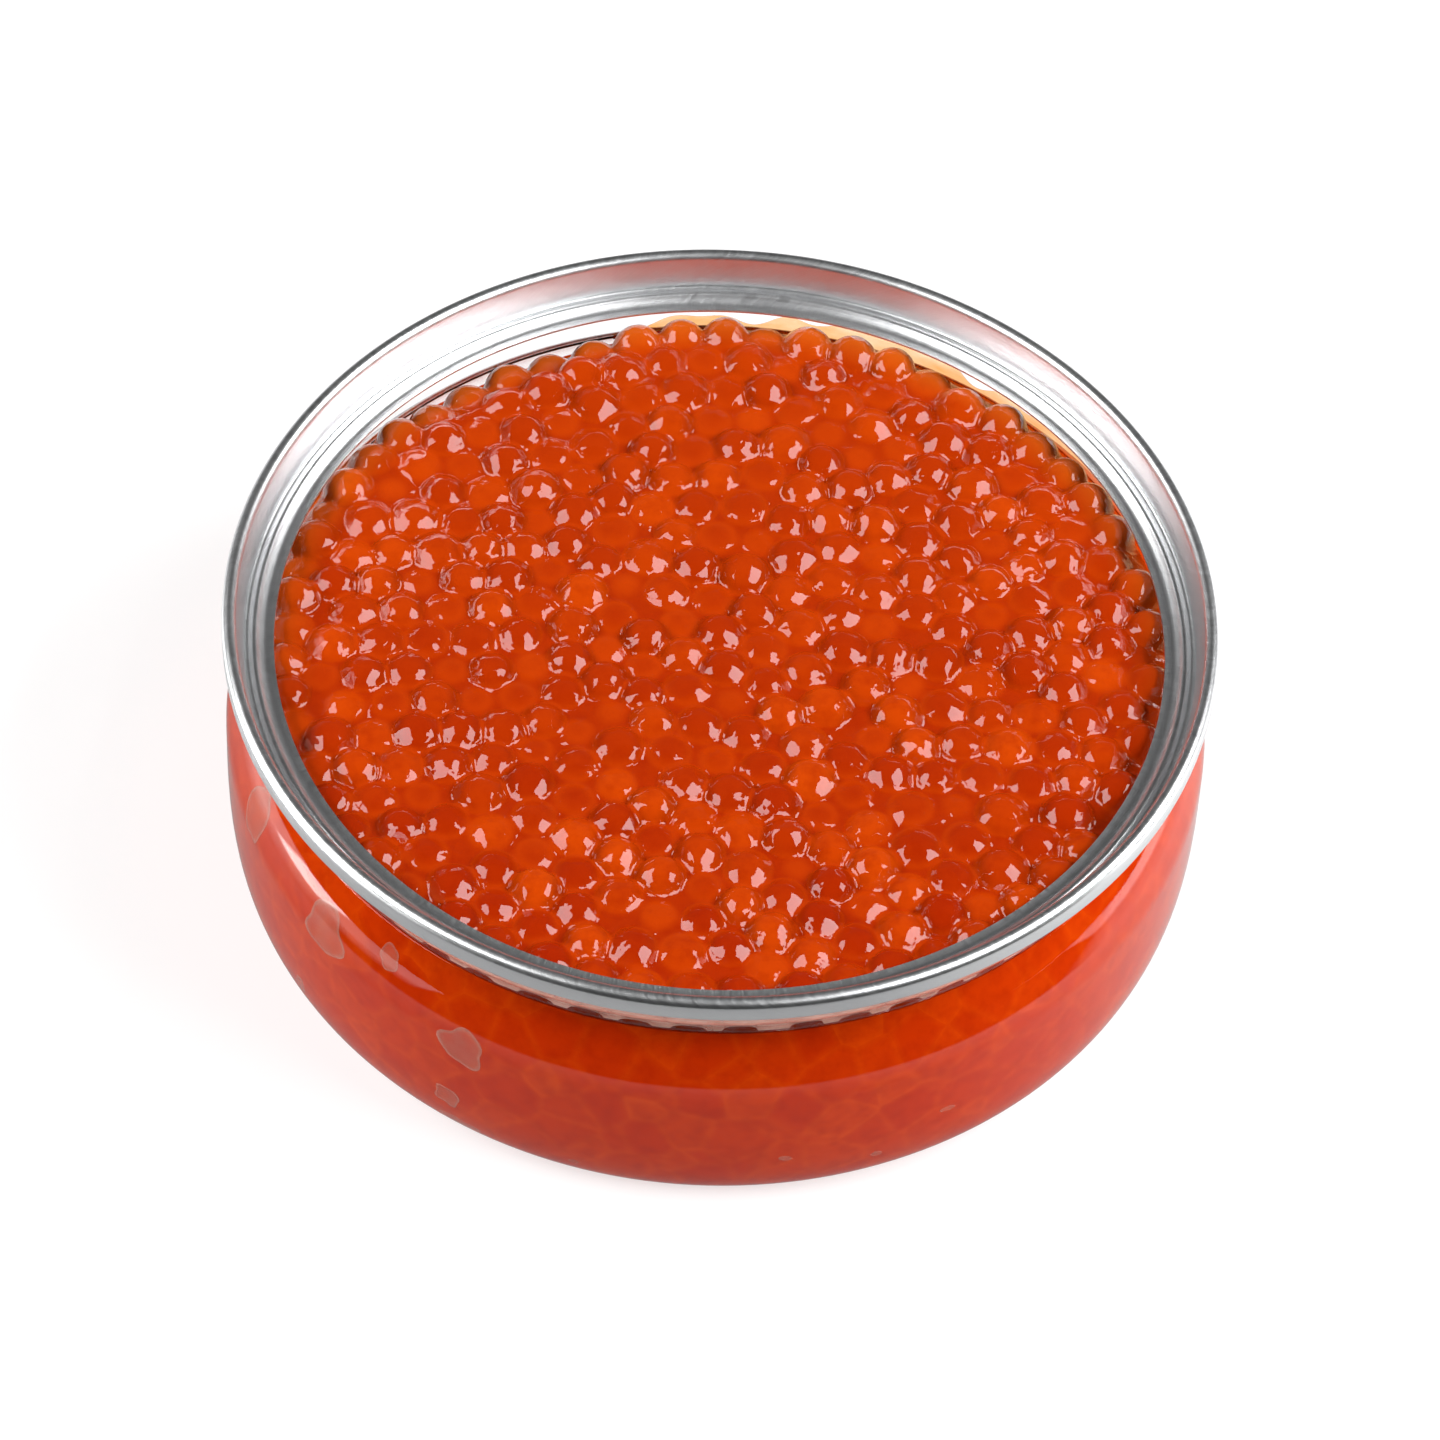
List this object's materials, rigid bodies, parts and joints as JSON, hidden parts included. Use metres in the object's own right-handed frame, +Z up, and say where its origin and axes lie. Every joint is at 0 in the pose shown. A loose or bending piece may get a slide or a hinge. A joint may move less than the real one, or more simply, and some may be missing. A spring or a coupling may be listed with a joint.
{
  "type": "salmon roe in a clear can",
  "caption": "Opened low clear plastic can with an aluminium rim, filled with glossy orange-red salmon roe.",
  "frame": {"origin": "centre of the can's base, on the surface that it stands on", "axes": "+Z up out of the open can; the picture looks along +Y, with +X to the right"},
  "size_m": [0.1026, 0.1026, 0.0342],
  "materials": {
    "clear_plastic": "clear and glossy",
    "rim_metal": "rolled, finely scratched",
    "roe": "wet and translucent"
  },
  "bodies": {
    "root": {"can_body": "clear_plastic", "rim_ring": "rim_metal", "roe": "roe"}
  },
  "joints": []
}
